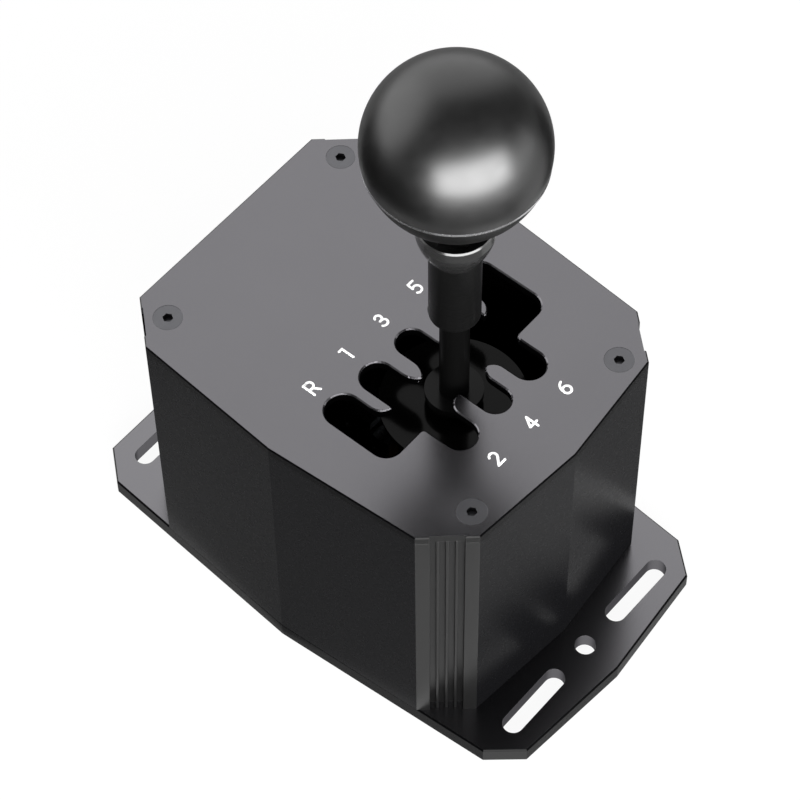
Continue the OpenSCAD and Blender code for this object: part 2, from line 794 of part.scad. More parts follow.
module lever_hub() {
    color("silver")
    translate(pivot) difference() {
        translate([-hub_w / 2, -hub_w / 2, -hub_down]) cube([hub_w, hub_w, hub_up + hub_down]);
        rotate([0, 90, 0]) cylinder(r = pin_d / 2 + fix_gap, h = hub_w + 2, center = true);
        translate([0, 0, rod_foot]) cylinder(d = rod_d + 2 * fix_gap, h = hub_up);
        for (x = [-1, 1], y = [-1, 1])
            translate([x * saddle_screw_at, y * saddle_screw_at, -hub_down - 1])
                cylinder(d = saddle_screw_d + 2 * fix_gap, h = saddle_screw_l);
    }
}

module shift_bushes() {
    r = pin_d / 2;
    color("goldenrod")
        for (side = [0, 1])
            translate(pivot) mirror([side, 0, 0]) translate([frame_in_w / 2, 0, 0])
                rotate([0, 90, 0]) difference() {
                    union() {
                        cylinder(r = r + bush_wall, h = frame_side);
                        translate([0, 0, face_gap - (frame_in_w - hub_w) / 2])
                            cylinder(r = r + bush_wall + 1,
                                h = (frame_in_w - hub_w) / 2 - face_gap);
                    }
                    translate([0, 0, -frame_side])
                        cylinder(r = r + run_gap, h = 3 * frame_side);
                }
}

module shift_pin() {
    color("lightsteelblue")
    translate(pivot) rotate([0, 90, 0]) difference() {
        cylinder(d = pin_d, h = pin_l, center = true);
        for (side = [0, 1])
            mirror([0, 0, side]) translate([0, 0, clip_x - fix_gap]) difference() {
                cylinder(d = pin_d + 2, h = clip_t + 2 * fix_gap);
                translate([0, 0, -1]) cylinder(r = pin_d / 2 - clip_groove, h = clip_t + 3);
            }
        translate([0, 0, pin_l / 2 - magnet_t])
            cylinder(d = magnet_d + 2 * fix_gap, h = magnet_t + 1);
    }
}

module shift_circlips() {
    color("dimgray")
        for (side = [0, 1])
            translate(pivot) mirror([side, 0, 0]) translate([clip_x, 0, 0])
                rotate([0, 90, 0]) difference() {
                    cylinder(d = clip_d, h = clip_t);
                    translate([0, 0, -1])
                        cylinder(r = pin_d / 2 - clip_groove + fix_gap, h = clip_t + 2);
                    translate([0, -1.5, -1]) cube([clip_d, 3, clip_t + 2]);
                }
}

module shift_magnet() {
    color("lightgray")
        translate(pivot + [pin_l / 2 - magnet_t, 0, 0]) rotate([0, 90, 0])
            cylinder(d = magnet_d, h = magnet_t);
}

// Notched sector under the hub: the plunger drops into a notch in neutral and in each gear
module detent_sector() {
    notch_r = plunger_r + nose_gap;
    notch_at = sector_r + nose_gap + plunger_r - plunger_travel;
    color("lightsteelblue")
    translate(pivot) difference() {
        union() {
            translate([-hub_w / 2, -hub_w / 2, -hub_down - saddle_t])
                cube([hub_w, hub_w, saddle_t]);
            intersection() {
                rotate([0, 90, 0]) cylinder(r = sector_r, h = web_t, center = true);
                rotate([90, 0, 90]) translate([0, 0, -web_t])
                    linear_extrude(2 * web_t) polygon([
                        [-hub_w / 2, -hub_down - saddle_t / 2],
                        [hub_w / 2, -hub_down - saddle_t / 2],
                        [sector_x, -sector_z], [-sector_x, -sector_z]]);
            }
        }
        for (a = [-shift_angle, 0, shift_angle])
            rotate([a, 0, 0]) translate([0, 0, -notch_at]) rotate([0, 90, 0])
                cylinder(r = notch_r, h = web_t + 2, center = true);
        for (x = [-1, 1], y = [-1, 1])
            translate([x * saddle_screw_at, y * saddle_screw_at, -hub_down - saddle_t - 1])
                cylinder(d = saddle_screw_d + 2 * fix_gap, h = saddle_t + 2);
    }
}

module sector_screws() {
    color("silver")
        for (x = [-1, 1], y = [-1, 1])
            translate(pivot + [x * saddle_screw_at, y * saddle_screw_at, -hub_down - saddle_t])
                mirror([0, 0, 1])
                    cap_screw(saddle_screw_d, saddle_screw_l, saddle_head_d, saddle_head_h, 1.5);
}

// U-shaped bridge that hangs from the select frame and holds the plunger under the sector
module detent_bridge() {
    color("slategray")
    translate(pivot) difference() {
        union() {
            for (side = [0, 1])
                mirror([side, 0, 0]) translate([leg_x, -bridge_w / 2, bridge_z])
                    cube([leg_t, bridge_w, -bridge_z - frame_h / 2]);
            translate([-leg_x - leg_t, -bridge_w / 2, bridge_z])
                cube([2 * (leg_x + leg_t), bridge_w, bridge_top - bridge_z]);
            translate([0, 0, bridge_boss_z]) cylinder(r = 5, h = bridge_top - bridge_boss_z);
        }
        translate([0, 0, bridge_boss_z - 1])
            cylinder(r = plunger_r + run_gap, h = bridge_top - bridge_boss_z + 2);
    }
}

module detent_plunger() {
    color("silver")
        translate(pivot + [0, 0, nose_z]) {
            sphere(plunger_r);
            translate([0, 0, -plunger_l]) cylinder(r = plunger_r, h = plunger_l);
        }
}

module detent_spring() {
    r = plunger_r - 0.2 - detent_wire / 2;
    bottom = bridge_boss_z + grub_l + detent_wire / 2;
    top = plunger_foot - detent_wire / 2;
    rings = detent_turns * 8;
    path = [for (i = [0 : rings]) [r * cos(45 * i), r * sin(45 * i),
        bottom + (top - bottom) * i / rings]];
    echo(least_gap_of_detent_spring = (top - bottom) / detent_turns - detent_wire);
    color("gainsboro") translate(pivot) tube(path, [0, 0, 1], detent_wire / 2);
}

module detent_grub_screw() {
    color("dimgray")
        translate(pivot + [0, 0, bridge_boss_z]) difference() {
            cylinder(r = plunger_r + run_gap - fix_gap, h = grub_l);
            translate([0, 0, -1]) cylinder(d = 1.5 / cos(30), h = grub_l, $fn = 6);
        }
}

module lever_rod() {
    color("dimgray")
        translate([0, lever_y, pivot_z + rod_foot])
            cylinder(d = rod_d, h = rod_top - pivot_z - rod_foot);
}

// A ring round the lever rod, with its own bore
module on_rod(z) {
    translate([0, lever_y, z]) difference() {
        children();
        translate([0, 0, -50]) cylinder(d = rod_d + 2 * fix_gap, h = 100);
    }
}

module dust_disc() {
    color("dimgray")
    on_rod(disc_z) {
        cylinder(d = disc_d, h = disc_t);
        cylinder(d = disc_boss_d, h = disc_t + disc_boss_h);
    }
}

module guide_flange() {
    color("gray") on_rod(flange_z) cylinder(d = flange_d, h = flange_t);
}

module lever_sleeve() {
    color("dimgray") on_rod(sleeve_z) cylinder(d = sleeve_d, h = sleeve_l);
}

// Cup-shaped collar: a rounded bowl under a bevelled rim, with a seat for the lock nut
module lever_collar() {
    steps = 8;
    bowl_h = collar_h - 3.4;
    r0 = sleeve_d / 2;
    r1 = collar_d / 2;
    bowl = [for (i = [0 : steps]) let (t = 1 - i / steps)
        [r0 + (r1 - r0) * (1 - pow(t, 1.5)), bowl_h * (1 - t)]];
    seat_r = nut_flats / 2 / cos(30) + 1.2;
    color("gray")
    on_rod(collar_z) rotate_extrude() polygon(concat(
        [[0, 0]], bowl,
        [[r1 - 0.2, collar_h - 0.6], [r1 - 0.6, collar_h],
        [seat_r, collar_h - collar_bevel], [seat_r, collar_h - collar_recess],
        [0, collar_h - collar_recess]]));
}

module lock_nut() {
    color("dimgray")
        on_rod(nut_z) cylinder(d = nut_flats / cos(30), h = nut_h, $fn = 6);
}

module knob_insert() {
    color("gold")
        on_rod(knob_z - insert_down) cylinder(d = insert_d, h = insert_up + insert_down);
}

// The bore in the knob that holds the threaded insert
module insert_bore(r) {
    translate([0, 0, -insert_down]) cylinder(r = r, h = insert_up + insert_down);
}

module knob_base() {
    top = ring_z - ring_h / 2;
    color("dimgray")
    on_rod(knob_z) difference() {
        union() {
            intersection() {
                sphere(ball_r, $fn = 96);
                translate([0, 0, -knob_flat]) cylinder(r = knob_d, h = knob_flat + top);
            }
            translate([0, 0, -knob_flat - neck_h]) cylinder(d = neck_d, h = neck_h + 3);
        }
        insert_bore(insert_d / 2 + fix_gap);
    }
}

module knob_ring() {
    r = sqrt(ball_r * ball_r - ring_z * ring_z) + ring_out;
    color("silver")
        translate([0, lever_y, knob_z + ring_z - ring_h / 2]) difference() {
            cylinder(r = r, h = ring_h);
            translate([0, 0, -1]) cylinder(d = insert_d + 2 * fix_gap, h = ring_h + 2);
        }
}

module knob_shell() {
    bottom = ring_z + ring_h / 2;
    color("gray")
        translate([0, lever_y, knob_z]) difference() {
            sphere(ball_r, $fn = 96);
            translate([0, 0, -knob_d]) cylinder(r = knob_d, h = knob_d + bottom);
            insert_bore(insert_d / 2 + fix_gap);
        }
}

module controller_board() {
    color("darkgreen")
    translate([0, board_y, board_z]) difference() {
        translate([-board_w / 2, -board_l / 2, 0]) cube([board_w, board_l, board_t]);
        for (x = [-1, 1], y = [-1, 1])
            translate([x * board_hole_x, y * board_hole_y, -1])
                cylinder(d = board_screw_d + 0.4, h = board_t + 2);
    }
}

module board_chip() {
    color("black")
        translate([chip_x, board_y - chip_w / 2, board_z + board_t])
            cube([chip_w, chip_w, 2 * chip_t]);
}

module board_headers() {
    color("ivory")
        for (i = [-2 : 0])
            translate([i * header_pitch, board_y - board_l / 2 + header_l / 2,
                board_z + board_t]) difference() {
                cube([header_w, header_l, header_h]);
                translate([header_wall, header_wall, 2 * header_wall])
                    cube([header_w - 2 * header_wall, header_l - 2 * header_wall, header_h]);
            }
}

module board_standoffs() {
    color("silver")
        for (x = [-1, 1], y = [-1, 1])
            translate([x * board_hole_x, board_y + y * board_hole_y, base_t]) difference() {
                cylinder(d = standoff_d, h = standoff_h);
                translate([0, 0, 1]) cylinder(d = board_screw_d + 2 * fix_gap, h = standoff_h);
            }
}

module board_screws() {
    color("silver")
        for (x = [-1, 1], y = [-1, 1])
            translate([x * board_hole_x, board_y + y * board_hole_y, board_z + board_t])
                cap_screw(board_screw_d, board_t + standoff_h - 1.5, board_head_d,
                    board_head_h, 2);
}

// Socket shell and tongue, flush with the rear wall
module usb_inlet() {
    color("silver")
    translate([0, half_l, board_z + board_t + usb_h / 2]) rotate([90, 0, 0]) {
        difference() {
            linear_extrude(usb_l) stadium(usb_w, usb_h);
            translate([0, 0, -1]) linear_extrude(usb_l)
                stadium(usb_w - 2 * usb_wall, usb_h - 2 * usb_wall);
        }
        translate([-usb_w / 2 + 1.2, -0.35, 1.2]) cube([usb_w - 2.4, 0.7, usb_l - 1.2]);
    }
}

base_plate();
housing();
top_plate();
top_screws();
base_screws();
front_stand();
rear_stand();
stand_screws();
select_bushes();
select_frame();
select_shafts();
select_crank();
centring_spring();
select_magnet();
sensor_bracket();
select_sensor_board();
lever_hub();
shift_bushes();
shift_pin();
shift_circlips();
shift_magnet();
shift_sensor_board();
shift_board_posts();
detent_sector();
sector_screws();
detent_bridge();
detent_plunger();
detent_spring();
detent_grub_screw();
lever_rod();
dust_disc();
guide_flange();
lever_sleeve();
lever_collar();
lock_nut();
knob_insert();
knob_base();
knob_ring();
knob_shell();
controller_board();
board_chip();
board_headers();
board_standoffs();
board_screws();
usb_inlet();
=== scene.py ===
# %% [markdown]
# # A gear shifter for racing simulators
#
# A ball-topped lever stands in a black steel housing. It swings through a gate cut in the top
# plate, over a base plate with slots for bolting it to a rig. The solids come from the CAD model
# and are the frame of this scene. They carry every dimension, so Blender adds what a solid can't
# hold: the finish of each metal and plastic, the printed gear numbers, and the light.

# %% Load the frame
import math

import bmesh
import bpy
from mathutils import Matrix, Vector


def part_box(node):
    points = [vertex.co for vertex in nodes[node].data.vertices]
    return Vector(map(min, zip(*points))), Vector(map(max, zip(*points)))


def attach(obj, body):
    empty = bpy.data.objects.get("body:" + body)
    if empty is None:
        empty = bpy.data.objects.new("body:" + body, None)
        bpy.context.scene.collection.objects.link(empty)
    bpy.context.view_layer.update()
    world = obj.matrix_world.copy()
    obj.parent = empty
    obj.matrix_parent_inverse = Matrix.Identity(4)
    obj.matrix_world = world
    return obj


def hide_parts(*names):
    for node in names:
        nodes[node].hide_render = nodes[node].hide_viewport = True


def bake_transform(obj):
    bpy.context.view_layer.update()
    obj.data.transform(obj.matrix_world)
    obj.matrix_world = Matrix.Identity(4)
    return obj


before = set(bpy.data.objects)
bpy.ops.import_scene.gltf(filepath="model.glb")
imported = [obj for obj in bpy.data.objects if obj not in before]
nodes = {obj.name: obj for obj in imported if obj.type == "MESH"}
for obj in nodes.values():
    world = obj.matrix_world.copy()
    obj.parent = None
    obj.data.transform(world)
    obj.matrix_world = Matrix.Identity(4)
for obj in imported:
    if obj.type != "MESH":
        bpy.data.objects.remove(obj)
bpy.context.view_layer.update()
scene = bpy.context.scene

# %% [markdown]
# ## The camera
#
# The photograph was taken with a long lens from high on the driver's left. Such a lens keeps
# parallel edges almost parallel. Its place and angles were worked out by fitting the corners of
# the housing and the base plate to the picture. A look-at constraint would be quicker to write,
# but three plain angles say exactly how the camera is held, also that it is tipped by half a
# degree.

# %% Place the camera
MM = 0.001
CAMERA_PLACE = (-396.9, -344.3, 849.5)  # mm
CAMERA_ANGLES = (33.960, 0.543, -49.929)  # degrees
camera_data = bpy.data.cameras.new("camera")
camera_data.lens = 142.14
camera_data.sensor_width = 36.0
camera = bpy.data.objects.new("camera", camera_data)
camera.location = Vector(CAMERA_PLACE) * MM
camera.rotation_euler = [math.radians(a) for a in CAMERA_ANGLES]
scene.collection.objects.link(camera)
scene.camera = camera
print("camera at", [round(v, 3) for v in camera.location])

# %% [markdown]
# ## Helpers for materials and pieces
#
# Colours are written as the hex values that a colour picker shows, and one function turns them
# into the linear numbers that the renderer adds up. Shader nodes are made by one function that
# adds a node, sets its values by name and links its inputs. That keeps each material readable as
# a recipe. Two more turn a built shape into a piece, and a flat outline into a sheet of the
# studio.

# %% Colour, node and piece helpers
def linear(hex_colour):
    """sRGB hex such as '#1a2b3c' to linear RGBA."""
    channels = [int(hex_colour[i : i + 2], 16) / 255 for i in (1, 3, 5)]
    return [c / 12.92 if c <= 0.04045 else ((c + 0.055) / 1.055) ** 2.4 for c in channels] + [1.0]


def add_node(tree, kind, settings=None, links=None):
    """Add one node, set its properties and inputs by name or number, and link its inputs."""
    node = tree.nodes.new(kind)
    for name, value in (settings or {}).items():
        if isinstance(name, str) and hasattr(node, name):
            setattr(node, name, value)
        else:
            node.inputs[name].default_value = value
    for name, source in (links or {}).items():
        tree.links.new(source, node.inputs[name])
    return node


materials = {}


def new_material(name):
    """Make an empty material and return its node tree."""
    material = bpy.data.materials.new(name)
    material.use_nodes = True
    material.node_tree.nodes.clear()
    materials[name] = material
    return material.node_tree


def wear_slot(node_name, material_name):
    """Give a CAD node its finish."""
    mesh = nodes[node_name].data
    mesh.materials.clear()
    mesh.materials.append(materials[material_name])


def smooth(mesh):
    """Shade a mesh by its normals, not face by face."""
    for polygon in mesh.polygons:
        polygon.use_smooth = True


def add_piece(name, shape, material_name):
    """Turn a bmesh into a smooth piece in its finish, and free it."""
    mesh = bpy.data.meshes.new(name)
    shape.to_mesh(mesh)
    shape.free()
    mesh.materials.append(materials[material_name])
    smooth(mesh)
    piece = bpy.data.objects.new(name, mesh)
    scene.collection.objects.link(piece)
    return piece


def add_sheet(name, corners, faces):
    """A flat sheet of the studio, from corners in metres."""
    mesh = bpy.data.meshes.new(name)
    mesh.from_pydata(corners, [], faces)
    sheet = bpy.data.objects.new(name, mesh)
    scene.collection.objects.link(sheet)
    return sheet


print("helpers ready")

# %% [markdown]
# ## Bead-blasted, black anodised aluminium: the gate plate and the base plate
#
# Both plates are aluminium, blasted with fine glass beads and anodised black. The blasting leaves
# pits of about 0.1 mm that blur every reflection. A pixel of the picture is wider than a pit, so
# the grain is drawn at 0.35 mm. The dye darkens the metal without hiding it, so the plates show
# the pale room as a grey sheen and turn black where they show the knob or the housing. That is a
# metal with a dark colour, not a black paint. A dark edge tint keeps the sheen from growing at
# grazing angles, because the pits shade each other there. A Bevel node rounds the edges by
# 0.13 mm for the light alone, which gives them the thin bright line of a broken edge. The base
# plate is a touch paler than the gate plate.

# %% Anodised plates
UM = MM * MM
NOISE_LOW, NOISE_HIGH = 0.3, 0.7  # most values of a noise texture lie between these
TONE_DETAIL = 2.0  # finer layers of the tone's noise
BEVEL_SAMPLES = 6


def grained(name, shader_settings, grain_mm, roughness, relief_um=0.0, stretch=(1, 1, 1),
            detail=3.0, edge_mm=0.0, tones=None):
    """A material whose roughness and relief follow one grain, and its tone a second one.

    grain_mm is the size of the grain and detail how many finer layers it has, stretch makes it
    longer along an axis where it is small, roughness is (lowest, highest), relief_um the depth of
    the grain, edge_mm the rounding that light sees on edges, and tones two colours and the size
    in mm of the patches they mix in.
    """
    tree = new_material(name)
    place = add_node(tree, "ShaderNodeTexCoord")
    lay = add_node(tree, "ShaderNodeMapping", {"Scale": stretch},
                   {"Vector": place.outputs["Object"]})
    grain = add_node(tree, "ShaderNodeTexNoise", {"Scale": 1 / (grain_mm * MM), "Detail": detail},
                     {"Vector": lay.outputs["Vector"]})
    gloss = add_node(tree, "ShaderNodeMapRange",
                     {"From Min": NOISE_LOW, "From Max": NOISE_HIGH,
                      "To Min": roughness[0], "To Max": roughness[1]},
                     {"Value": grain.outputs["Fac"]})
    shader = add_node(tree, "ShaderNodeBsdfPrincipled", shader_settings,
                      {"Roughness": gloss.outputs["Result"]})
    normal = None
    if edge_mm:
        normal = add_node(tree, "ShaderNodeBevel",
                          {"samples": BEVEL_SAMPLES, "Radius": edge_mm * MM})
    if relief_um:
        links = {"Height": grain.outputs["Fac"]}
        if normal:
            links["Normal"] = normal.outputs["Normal"]
        normal = add_node(tree, "ShaderNodeBump",
                          {"Strength": 1.0, "Distance": relief_um * UM}, links)
    if normal:
        tree.links.new(normal.outputs["Normal"], shader.inputs["Normal"])
    if tones:
        *pair, patch_mm = tones
        patches = add_node(tree, "ShaderNodeTexNoise",
                           {"Scale": 1 / (patch_mm * MM), "Detail": TONE_DETAIL},
                           {"Vector": place.outputs["Object"]})
        mix = add_node(tree, "ShaderNodeMix", {"data_type": "RGBA"},
                       {"Factor": patches.outputs["Fac"]})
        for socket, colour in zip([s for s in mix.inputs if s.type == "RGBA"], pair):
            socket.default_value = linear(colour)
        mixed = next(s for s in mix.outputs if s.type == "RGBA")
        tree.links.new(mixed, shader.inputs["Base Color"])
    add_node(tree, "ShaderNodeOutputMaterial", {}, {"Surface": shader.outputs["BSDF"]})


PLATES = (("top_plate", "bead_blasted_black_aluminium", ("#6a696c", "#6d6c6f", 30.0)),
          ("base_plate", "bead_blasted_black_thick_aluminium", ("#747376", "#777679", 30.0)))
for name, finish, tones in PLATES:
    grained(finish, {"Metallic": 1.0, "Specular Tint": linear("#909090")},
            grain_mm=0.35, roughness=(0.20, 0.26), relief_um=0.3, edge_mm=0.13, tones=tones)
    wear_slot(name, finish)
print("plates finished")

# %% [markdown]
# ## Powder-coated steel: the housing walls
#
# The walls are sheet steel with a smooth, black, semi-matt powder coat. Melted powder never lies
# quite flat: it keeps an orange peel of low waves, about 1 mm from crest to crest, which makes
# the long reflections waver. The matting agent in the coat leaves little of its mirror sheen.
#
# ## Satin corners
#
# In the photograph, the front corner with its upright ribs shines more than the walls, so all
# four corners get a brighter, glossier finish of their own. Most likely the corners are bare
# moulded plastic beside the coated sheet, so all four get a finish of their own. The CAD housing
# is one solid, and its faces are sorted by place: what lies in the four corner squares wears the
# brighter finish. The narrow sides of the ribs get a darker, duller finish, which is painted
# shade for the shadow in the grooves beside the ribs. They are the faces there that look across
# the corner's diagonal.

# %% Housing walls and corners
grained("powder_coated_steel", {"Base Color": linear("#080809"), "Specular IOR Level": 0.026},
        grain_mm=1.0, roughness=(0.26, 0.32), relief_um=0.5, edge_mm=0.1, detail=1.0)
# painted shade: the rib sides are darker and duller for the shadow in the grooves beside the ribs
grained("rib_sides_painted_shade", {"Base Color": linear("#030303"), "Specular IOR Level": 0.02},
        grain_mm=0.5, roughness=(0.5, 0.6), relief_um=1.0)
grained("satin_black_corners", {"Base Color": linear("#0c0c0c"), "Specular IOR Level": 0.48},
        grain_mm=0.5, roughness=(0.28, 0.34), relief_um=0.4, edge_mm=0.3)
grained("satin_black_plate_edges", {"Base Color": linear("#0a0a0a"), "Specular IOR Level": 0.24},
        grain_mm=0.5, roughness=(0.28, 0.34), relief_um=0.4, edge_mm=0.13)
wear_slot("housing", "powder_coated_steel")
housing = nodes["housing"]
for finish in ("satin_black_corners", "rib_sides_painted_shade"):
    housing.data.materials.append(materials[finish])
CORNER_X, CORNER_Y = 37.9 * MM, 48.5 * MM  # where the corner squares begin
UPRIGHT = 0.7  # the least level part of an upright face's normal
ACROSS = 0.5  # the most that a rib side's normal points along the diagonal
corner_faces = 0
for polygon in housing.data.polygons:
    x, y, _ = housing.matrix_world @ polygon.center
    if abs(x) > CORNER_X and abs(y) > CORNER_Y:
        diagonal = Vector((math.copysign(1, x), math.copysign(1, y))).normalized()
        level = polygon.normal.xy
        rib_side = level.length > UPRIGHT and abs(level.dot(diagonal)) < ACROSS
        # index 2 is the painted shade of the rib sides
        polygon.material_index = 2 if rib_side else 1
        corner_faces += 1
print("corner faces:", corner_faces, "of", len(housing.data.polygons))

# %% [markdown]
# ## The outer edges of the plates
#
# The outer edges of both plates look like the housing: no seam shows between the gate plate and
# the walls. So they wear the walls' finish, and the short edges that cut off the plates' corners
# wear a satin one like the corners of the housing. A face belongs to the outer edge if its
# normal points away from the plate's middle and its centre lies near the outline.

# %% Outer edges of the plates
EDGE_BAND = 1.5 * MM  # how far inside the outline a face of the edge may lie
SIDEWAYS = 0.436  # the least level part of an edge face's normal
DIAGONAL = 0.4  # the least x and y of a level direction across a corner
for name, diagonal_finish in (("top_plate", "satin_black_corners"),
                              ("base_plate", "satin_black_plate_edges")):
    plate = nodes[name].data
    for finish in ("powder_coated_steel", diagonal_finish):
        plate.materials.append(materials[finish])
    outline = [v.co.xy for v in plate.vertices]
    reach = {}  # how far the outline goes in each direction that a face looks in
    faces = 0
    for polygon in plate.polygons:
        level = polygon.normal.xy
        if level.length < SIDEWAYS:
            continue
        away = level.normalized()
        key = (round(away.x, 2), round(away.y, 2))
        if key not in reach:
            reach[key] = max(v.dot(away) for v in outline)
        if polygon.center.xy.dot(away) > reach[key] - EDGE_BAND:
            diagonal = abs(away.x) > DIAGONAL and abs(away.y) > DIAGONAL
            polygon.material_index = 2 if diagonal else 1
            faces += 1
    print(name, "outer edge faces:", faces)

# %% [markdown]
# ## Satin lacquer over moulded plastic: the knob
#
# The ball is two moulded cups with a thin bright ring between them. The upper cup is under a
# satin lacquer that feels like soft rubber. Lacquer levels itself, so it has no grain that the
# eye can see, only a faint mottle in its gloss from handling. The lower cup is moulded plastic
# with a matt finish of little gloss, which is painted shade: it keeps the cup darker than the
# upper one, though it faces the white paper. The ring is chromed plastic.

# %% Knob and ring
grained("satin_lacquered_knob", {"Base Color": linear("#040404"), "Specular IOR Level": 0.75},
        grain_mm=4.0, roughness=(0.33, 0.37), detail=2.0)
wear_slot("knob_shell", "satin_lacquered_knob")
# painted shade: little gloss keeps the lower cup dark, though it faces the white paper
grained("matt_cup_painted_shade", {"Base Color": linear("#0b0b0b"), "Specular IOR Level": 0.25},
        grain_mm=0.6, roughness=(0.36, 0.42), detail=2.0)
wear_slot("knob_base", "matt_cup_painted_shade")
grained("chromed_plastic_ring", {"Base Color": linear("#e2e2e4"), "Metallic": 1.0},
        grain_mm=0.6, roughness=(0.22, 0.28))
wear_slot("knob_ring", "chromed_plastic_ring")
print("knob finished")

# %% [markdown]
# ## Turned and blackened steel: rod, sleeve, collar and nut
#
# These parts are turned on a lathe and blackened in hot salts. The cutting tool leaves rings
# about 0.1 mm apart. They run round the part, so a highlight spreads along it and stays narrow
# across it. The rings are drawn here as a grain that is stretched sideways and 0.15 mm high or
# less. Black oxide is a thin, dark skin that shines like a dielectric. The collar is polished.

# %% Lever
TURNED = (0.12, 0.12, 6.0)  # a grain that runs round an upright part
grained("blackened_turned_steel", {"Base Color": linear("#080808"), "Specular IOR Level": 0.07},
        grain_mm=0.9, roughness=(0.26, 0.34), relief_um=0.5, stretch=TURNED, edge_mm=0.15)
for name in ("lever_sleeve", "lock_nut"):
    wear_slot(name, "blackened_turned_steel")
grained("blackened_polished_collar", {"Base Color": linear("#181818"), "Specular IOR Level": 0.7},
        grain_mm=0.8, roughness=(0.18, 0.24), stretch=TURNED, edge_mm=0.15)
wear_slot("lever_collar", "blackened_polished_collar")
grained("blackened_ground_rod", {"Base Color": linear("#050505"), "Specular IOR Level": 0.045},
        grain_mm=0.6, roughness=(0.28, 0.34), stretch=TURNED)
wear_slot("lever_rod", "blackened_ground_rod")
print("lever finished")

# %% [markdown]
# ## Black oxide: the screws and circlips
#
# Bought screws of high-tensile steel are blackened in bulk and oiled. Tumbling rubs the black
# oxide thin, so the steel still shows through it as a dark metal, unlike on the lever's parts.

# %% Screws and circlips
grained("black_oxide_screws", {"Metallic": 1.0, "Specular Tint": linear("#909090")},
        grain_mm=0.3, roughness=(0.34, 0.44), relief_um=0.6, edge_mm=0.1,
        tones=("#646467", "#6a6a6d", 3.0))
SCREWS = ("top_screws", "base_screws", "stand_screws", "shift_circlips", "sector_screws",
          "detent_grub_screw", "board_screws")
for name in SCREWS:
    wear_slot(name, "black_oxide_screws")
print("nodes in black oxide:", len(SCREWS))

# %% [markdown]
# ## Plastics inside the gate
#
# Under the gate lies a disc of moulded black nylon that keeps dust out, held by a flange of dark
# acetal. Nylon comes from the mould with a fine spark-eroded grain. Deeper down are the circuit
# boards: glass fibre and epoxy under a glossy green solder mask, with an epoxy chip and nylon
# headers.

# %% Inner plastics
grained("moulded_nylon", {"Base Color": linear("#060606"), "Specular IOR Level": 0.10},
        grain_mm=0.6, roughness=(0.10, 0.16), relief_um=0.4)
wear_slot("dust_disc", "moulded_nylon")
grained("grey_acetal", {"Base Color": linear("#0c0c0c"), "Specular IOR Level": 0.13},
        grain_mm=0.4, roughness=(0.16, 0.22), relief_um=0.3)
wear_slot("guide_flange", "grey_acetal")
grained("epoxy_chip", {"Base Color": linear("#141414")},
        grain_mm=0.15, roughness=(0.5, 0.62), relief_um=3.0)
wear_slot("board_chip", "epoxy_chip")
grained("nylon_headers", {"Base Color": linear("#d9d4c4")},
        grain_mm=0.4, roughness=(0.38, 0.48), relief_um=1.0)
wear_slot("board_headers", "nylon_headers")
grained("solder_mask_board", {"Specular IOR Level": 0.5},
        grain_mm=0.8, roughness=(0.22, 0.34), relief_um=1.5, tones=("#0b3b24", "#0f4a2c", 6.0))
BOARDS = ("select_sensor_board", "shift_sensor_board", "controller_board")
for name in BOARDS:
    wear_slot(name, "solder_mask_board")
print("boards:", len(BOARDS))

# %% [markdown]
# ## Metals inside the gate
#
# The rest of the mechanism shows from below, and through the gate when the lever is pushed aside,
# so its metals are kept apart: die-cast alloy with its soft skin, zinc-plated sheet with faint
# spangle, ground steel, oily sintered bronze, drawn spring wire, nickel on the magnets, turned
# brass and tinned steel.

# %% Inner metals
METALS = {
    # name: (tones and their patch size in mm, grain mm, roughness, relief um, the CAD nodes)
    "die_cast_alloy": (("#8f9093", "#9b9c9f", 12.0), 0.5, (0.38, 0.50), 4.0,
                       ("select_frame", "lever_hub")),
    "zinc_plated_sheet": (("#a3a7ac", "#b4b6b8", 5.0), 0.4, (0.24, 0.36), 1.0,
                          ("front_stand", "rear_stand", "select_crank", "sensor_bracket",
                           "detent_bridge")),
    "ground_steel": (("#9c9da0", "#a6a7a9", 8.0), 0.2, (0.18, 0.26), 0.5,
                     ("select_shafts", "shift_pin", "detent_sector", "detent_plunger",
                      "board_standoffs")),
    "sintered_bronze": (("#7c5a35", "#8d6a42", 1.0), 0.2, (0.40, 0.55), 5.0,
                        ("select_bushes", "shift_bushes")),
    "drawn_spring_wire": (("#77787b", "#86878a", 2.0), 0.3, (0.22, 0.32), 0.5,
                          ("centring_spring", "detent_spring")),
    "nickel_plate": (("#b5aea4", "#bfb8ae", 3.0), 0.5, (0.14, 0.22), 0.3,
                     ("select_magnet", "shift_magnet")),
    "turned_brass": (("#b08d4a", "#bb9a58", 2.0), 0.3, (0.20, 0.30), 0.6,
                     ("knob_insert", "shift_board_posts")),
    "tinned_steel": (("#adaeaf", "#b8b9b9", 2.0), 0.4, (0.20, 0.30), 0.4, ("usb_inlet",)),
}
for metal, (tones, grain_mm, rough, relief, wearers) in METALS.items():
    grained(metal, {"Metallic": 1.0}, grain_mm, rough, relief_um=relief, tones=tones)
    for name in wearers:
        wear_slot(name, metal)
bare = [name for name, node in nodes.items() if not node.data.materials]
print("materials:", len(materials), "bare nodes:", bare)
